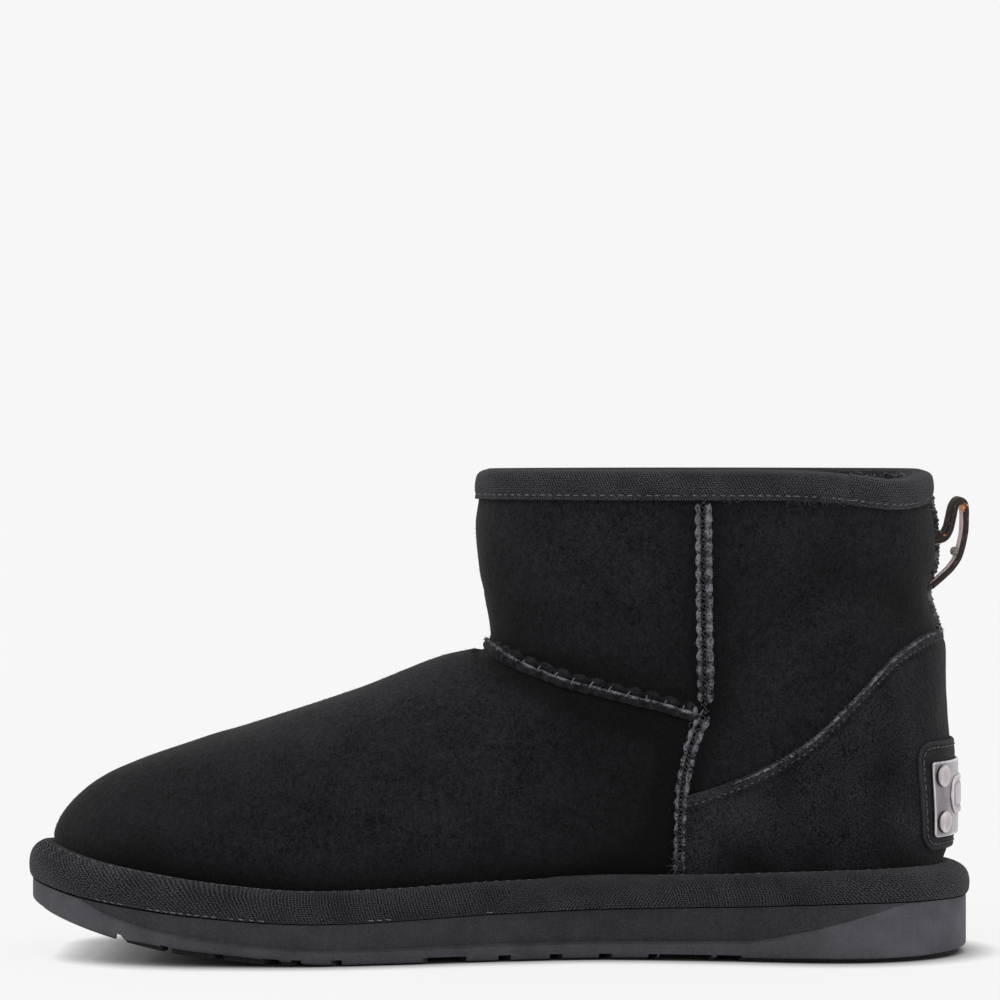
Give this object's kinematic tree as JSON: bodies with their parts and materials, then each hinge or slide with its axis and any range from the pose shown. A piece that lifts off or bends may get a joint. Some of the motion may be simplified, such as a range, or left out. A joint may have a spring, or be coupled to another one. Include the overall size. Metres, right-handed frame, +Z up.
{
  "type": "sheepskin ankle boot",
  "caption": "Low pull-on ankle boot of black sheepskin with taped seams, a raised foam sole, a heel counter with a plain metal badge, and a pull loop.",
  "frame": {"origin": "on the floor under the middle of the boot's length and width, standing on its sole", "axes": "+X towards the toe, +Y towards the inner side of the foot, +Z up"},
  "size_m": [0.286, 0.106, 0.1473],
  "materials": {
    "suede": "matt napped suede",
    "counter_suede": "matt brushed suede",
    "binding_tape": "twill tape",
    "sole_foam": "matt moulded foam",
    "wool": "dense wool pile",
    "patch_leather": "matt",
    "gunmetal": "brushed",
    "loop_ribbon": "smooth ribbon"
  },
  "bodies": {
    "root": {"outsole": "sole_foam", "sole_binding": "binding_tape", "insole": "wool", "upper": "suede", "collar_binding": "binding_tape", "heel_counter": "counter_suede", "heel_patch": "patch_leather", "badge_plate": "gunmetal", "pull_loop": "loop_ribbon", "rivet_inner_low": "gunmetal", "rivet_inner_high": "gunmetal", "rivet_outer_low": "gunmetal", "rivet_outer_high": "gunmetal", "badge_boss": "gunmetal"}
  },
  "joints": []
}
